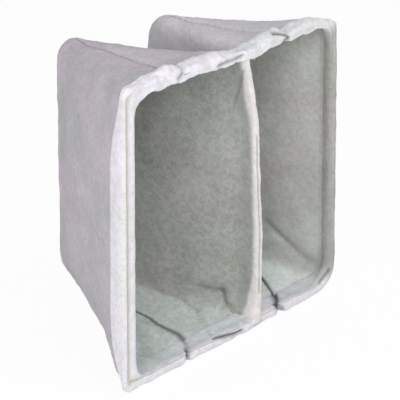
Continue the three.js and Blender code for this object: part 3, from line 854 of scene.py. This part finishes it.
# Each crease is a line of points, then its width, its dent into the sheet and the darkness of its painted
# shade
LEFT_CREASES = (
    ((
        (-37, 44, -281), (-29, 80, -272), (-14, 95, -264), (-20, 106, -260), (-23, 124, -252),
        (-27, 139, -245), (-41, 156, -241), (-60, 190, -228),
    ), 10, 3.0, 0.28),
    (((-30, 150, -212), (-8, 118, -220), (13, 92, -226), (22, 80, -229), (36, 68, -228)), 11, 7.0, 0.8),
    (((20, 84, -226), (32, 68, -232), (34, 60, -242)), 10, 4.0, 1.3),
    (((36, 74, -228), (33, 66, -246), (34, 59, -264), (27, 40, -280)), 9, 3.5, 0.6),
    (((-190, 60, -270), (-170, 110, -258), (-160, 170, -240)), 12, 2.0, 0.1),
)
RIGHT_CREASES = (
    ((
        (276, 36, -248), (266, 56, -236), (257, 71, -222), (250, 84, -206), (238, 108, -182),
        (225, 140, -150),
    ), 12, 4.5, 0.35),
    ((
        (126, 12, -284), (140, 30, -284), (154, 48, -282), (163, 71, -272), (169, 88, -265), (174, 120, -254),
    ), 10, 6.0, 1.7),
)

left_pocket = pocket_piece(
    "left_pocket_wadding", media, hand=-1, lean=0.0, top_rise=4.0, top_radius=50, corner_radii=(24, 24),
    seams=LEFT_SEAMS, creases=LEFT_CREASES, seed=21,
)
right_pocket = pocket_piece(
    "right_pocket_wadding", right_media_painted_lighter, hand=1, lean=-54.0, top_rise=-3.0, top_radius=58,
    corner_radii=(24, 52), seams=RIGHT_SEAMS, creases=RIGHT_CREASES, seed=41,
)
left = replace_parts(left_pocket, "left_pocket")
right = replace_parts(right_pocket, "right_pocket")
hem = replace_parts(hem_piece(), "mouth_hem")
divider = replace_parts(divider_piece(), "divider_hem")
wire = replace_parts(wire_piece(), "wire_frame")
for piece, slot in ((left, "media"), (right, "media"), (hem, "hem"), (divider, "hem"), (wire, "wire")):
    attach(piece, "root")


# Floor, sky, lamps and camera, in metres

FLOOR_SIZE, FLOOR_GAP, FLOOR_GLOW_SHARE = 30, 0.0006, 0.95
SKY_STRENGTH = 0.52
PURE_WHITE = (1, 1, 1, 1)


def seen_directly(tree):
    """One for camera rays and glossy rays, zero for the others."""
    rays = tree.nodes.new("ShaderNodeLightPath")
    return combine(tree, "MAXIMUM", rays.outputs["Is Camera Ray"], rays.outputs["Is Glossy Ray"])


def switch(tree, factor, first, second, out):
    """Mixes two shaders by the factor and gives the result to the output."""
    node = tree.nodes.new("ShaderNodeMixShader")
    for socket, value in zip(node.inputs, (factor, first, second)):
        tree.links.new(value, socket)
    tree.links.new(node.outputs[0], out.inputs[0])


floor_z = min(v.co.z for v in hem.data.vertices) - FLOOR_GAP
bpy.ops.mesh.primitive_plane_add(size=FLOOR_SIZE, location=(0, 0, floor_z))
floor = bpy.context.object
floor.name = "floor"
ground, ground_tree, ground_base = shader("pale_floor", 1.0)
ground_base.inputs["Base Color"].default_value = (0.9, 0.9, 0.9, 1)
glow = ground_tree.nodes.new("ShaderNodeEmission")
glow.inputs["Color"].default_value = PURE_WHITE
glow.inputs["Strength"].default_value = 1.0
glow_share = combine(ground_tree, "MULTIPLY", seen_directly(ground_tree), FLOOR_GLOW_SHARE)
ground_out = next(n for n in ground_tree.nodes if n.type == "OUTPUT_MATERIAL")
switch(ground_tree, glow_share, ground_base.outputs[0], glow.outputs[0], ground_out)
floor.data.materials.append(ground)

world = bpy.data.worlds.new("studio")
bpy.context.scene.world = world
world.use_nodes = True
sky = world.node_tree
sky.nodes.clear()
sky_out = sky.nodes.new("ShaderNodeOutputWorld")
ambient = sky.nodes.new("ShaderNodeBackground")
ambient.inputs["Color"].default_value = (0.97, 0.98, 1.0, 1)
ambient.inputs["Strength"].default_value = SKY_STRENGTH
white = sky.nodes.new("ShaderNodeBackground")
white.inputs["Color"].default_value = PURE_WHITE
white.inputs["Strength"].default_value = 1.0
switch(sky, seen_directly(sky), ambient.outputs[0], white.outputs[0], sky_out)


def lamp(name, place, size, watts):
    """A square lamp that points at the middle of the part."""
    data = bpy.data.lights.new(name, "AREA")
    data.shape = "SQUARE"
    data.size = size
    data.energy = watts
    obj = bpy.data.objects.new(name, data)
    obj.location = place
    obj.rotation_euler = (-Vector(place)).to_track_quat("-Z", "Y").to_euler()
    bpy.context.collection.objects.link(obj)


lamp("key", (-2.8, -1.3, 1.1), size=1.8, watts=46)
lamp("front", (0.3, -2.6, 2.3), size=2.0, watts=50)

# The camera solved from the mouth's four corners in the photograph: its turn as an axis times an angle, and
# the millimetres from it to the mouth's lower left corner in its own axes
SENSOR_WIDTH, FOCAL_LENGTH, CLIP_END = 36, 135, 100
TURN = (1.85805896, -0.79084312, 0.50838702)
SHIFT = np.array([-131.85425242, 359.27298212, 2795.64132068])
angle = math.sqrt(sum(v * v for v in TURN))
rotation = np.array(Matrix.Rotation(angle, 3, Vector(TURN).normalized()))
eye = (-rotation.T @ SHIFT - np.array([HALF, 0, HALF])) * MILLIMETRE + ORIGIN
camera = bpy.data.objects.new("camera", bpy.data.cameras.new("camera"))
camera.data.sensor_width = SENSOR_WIDTH
camera.data.lens = FOCAL_LENGTH
camera.data.clip_end = CLIP_END
axes = np.stack([rotation[0], -rotation[1], -rotation[2]], axis=1)
pose = np.eye(4)
pose[:3, :3] = axes
pose[:3, 3] = eye
camera.matrix_world = Matrix(pose.tolist())
bpy.context.collection.objects.link(camera)
bpy.context.scene.camera = camera
bpy.context.scene.view_settings.view_transform = "Standard"
